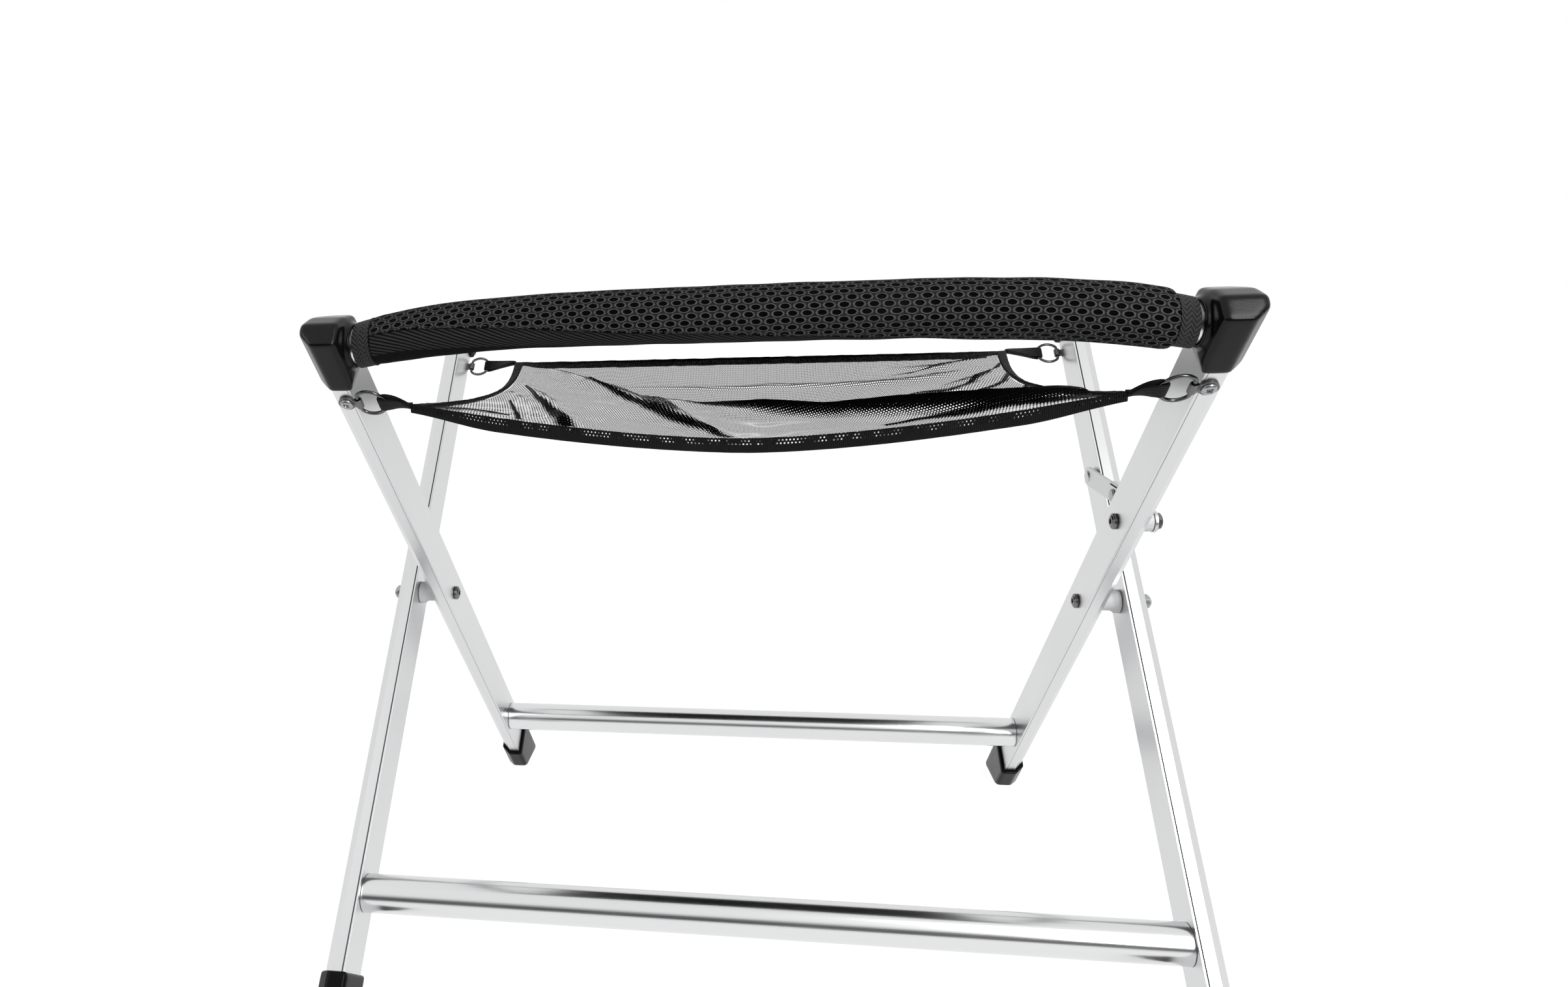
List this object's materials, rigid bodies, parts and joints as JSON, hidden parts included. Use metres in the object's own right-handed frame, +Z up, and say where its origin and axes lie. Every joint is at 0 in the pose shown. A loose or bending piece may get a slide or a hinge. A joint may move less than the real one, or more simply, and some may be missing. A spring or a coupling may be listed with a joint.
{
  "type": "folding footstool",
  "caption": "Folding X-frame footstool in aluminium, with a black padded mesh sling, a storage net hung on D-rings and a folding lock stay.",
  "frame": {"origin": "on the floor, midway between the four feet", "axes": "+X to the right, +Y away from the viewer, +Z up"},
  "size_m": [0.5622, 0.463, 0.4713],
  "materials": {
    "frame_aluminium": "satin anodised",
    "bright_tube": "polished",
    "zinc_steel": "zinc plated, fairly bright",
    "dark_steel": "dark zinc plated",
    "pale_bush": "pale grey moulding",
    "black_plastic": "black, slightly glossy moulding",
    "spacer_mesh": "black padded spacer mesh with oval holes",
    "black_webbing": "black woven tape",
    "black_net": "black open net"
  },
  "bodies": {
    "inner_frame": {"inner_crossbar": "bright_tube", "inner_crossbar_screw_left": "zinc_steel", "inner_crossbar_screw_right": "zinc_steel", "inner_foot_left": "black_plastic", "inner_foot_right": "black_plastic", "inner_leg_left": "frame_aluminium", "inner_leg_right": "frame_aluminium", "near_collar_left": "black_webbing", "near_collar_right": "black_webbing", "near_corner_cap_left": "black_plastic", "near_corner_cap_right": "black_plastic", "near_lug_screw_left": "zinc_steel", "near_lug_screw_right": "zinc_steel", "near_rail": "bright_tube", "near_ring_lug_left": "zinc_steel", "near_ring_lug_right": "zinc_steel", "near_strap_left": "black_webbing", "near_strap_right": "black_webbing", "net_far_hem": "black_webbing", "net_near_hem": "black_webbing", "net_side_hem_left": "black_webbing", "net_side_hem_right": "black_webbing", "pivot_bolt_left": "dark_steel", "pivot_bolt_right": "dark_steel", "pivot_bush_left": "pale_bush", "pivot_bush_right": "pale_bush", "pivot_nut_left": "zinc_steel", "pivot_nut_right": "zinc_steel", "sling_seat": "spacer_mesh", "stay_bolt": "dark_steel", "stay_bush": "pale_bush", "stay_nut": "zinc_steel", "storage_net": "black_net"},
    "outer_frame": {"far_collar_left": "black_webbing", "far_collar_right": "black_webbing", "far_corner_cap_left": "black_plastic", "far_corner_cap_right": "black_plastic", "far_lug_screw_left": "zinc_steel", "far_lug_screw_right": "zinc_steel", "far_rail": "bright_tube", "far_ring_lug_left": "zinc_steel", "far_ring_lug_right": "zinc_steel", "far_strap_left": "black_webbing", "far_strap_right": "black_webbing", "outer_crossbar": "bright_tube", "outer_crossbar_screw_left": "zinc_steel", "outer_crossbar_screw_right": "zinc_steel", "outer_foot_left": "black_plastic", "outer_foot_right": "black_plastic", "outer_leg_left": "frame_aluminium", "outer_leg_right": "frame_aluminium", "stay_rivet": "zinc_steel"},
    "stay_lower": {"stay_lower_link": "frame_aluminium", "stay_knuckle_rivet": "zinc_steel"},
    "stay_upper": {"stay_upper_link": "frame_aluminium"},
    "near_ring_left": {"near_ring_left": "zinc_steel"},
    "near_ring_right": {"near_ring_right": "zinc_steel"},
    "far_ring_left": {"far_ring_left": "zinc_steel"},
    "far_ring_right": {"far_ring_right": "zinc_steel"}
  },
  "joints": [
    {"name": "fold", "type": "hinge", "parent": "inner_frame", "child": "outer_frame", "pos_m": [0, 0, 0.24264], "axis": [1, 0, 0], "range_deg": [0, 68], "deforming": ["sling_seat", "storage_net", "net_near_hem", "net_far_hem", "net_side_hem_left", "net_side_hem_right"]},
    {"name": "stay_lower_swing", "type": "hinge", "parent": "inner_frame", "child": "stay_lower", "pos_m": [0.25, -0.06351, 0.3157], "axis": [1, 0, 0], "range_deg": [0, 111]},
    {"name": "stay_knuckle", "type": "hinge", "parent": "stay_lower", "child": "stay_upper", "pos_m": [0.25, 0.00649, 0.31877], "axis": [1, 0, 0], "range_deg": [-159.2, 0]},
    {"name": "near_ring_left_swing", "type": "hinge", "parent": "inner_frame", "child": "near_ring_left", "pos_m": [-0.2289, -0.16683, 0.41032], "axis": [0, -0.6561, 0.7547], "range_deg": [-80, 80], "deforming": ["near_strap_left"]},
    {"name": "near_ring_right_swing", "type": "hinge", "parent": "inner_frame", "child": "near_ring_right", "pos_m": [0.2289, -0.16683, 0.41032], "axis": [0, -0.6561, 0.7547], "range_deg": [-80, 80], "deforming": ["near_strap_right"]},
    {"name": "far_ring_left_swing", "type": "hinge", "parent": "outer_frame", "child": "far_ring_left", "pos_m": [-0.2569, 0.16683, 0.41032], "axis": [0, 0.6561, 0.7547], "range_deg": [-80, 80], "deforming": ["far_strap_left"]},
    {"name": "far_ring_right_swing", "type": "hinge", "parent": "outer_frame", "child": "far_ring_right", "pos_m": [0.2569, 0.16683, 0.41032], "axis": [0, 0.6561, 0.7547], "range_deg": [-80, 80], "deforming": ["far_strap_right"]}
  ],
  "couplings": [
    {"joint": "stay_lower_swing", "follows": "fold", "ratio": 1.6243},
    {"joint": "stay_knuckle", "follows": "fold", "ratio": -2.3331}
  ]
}
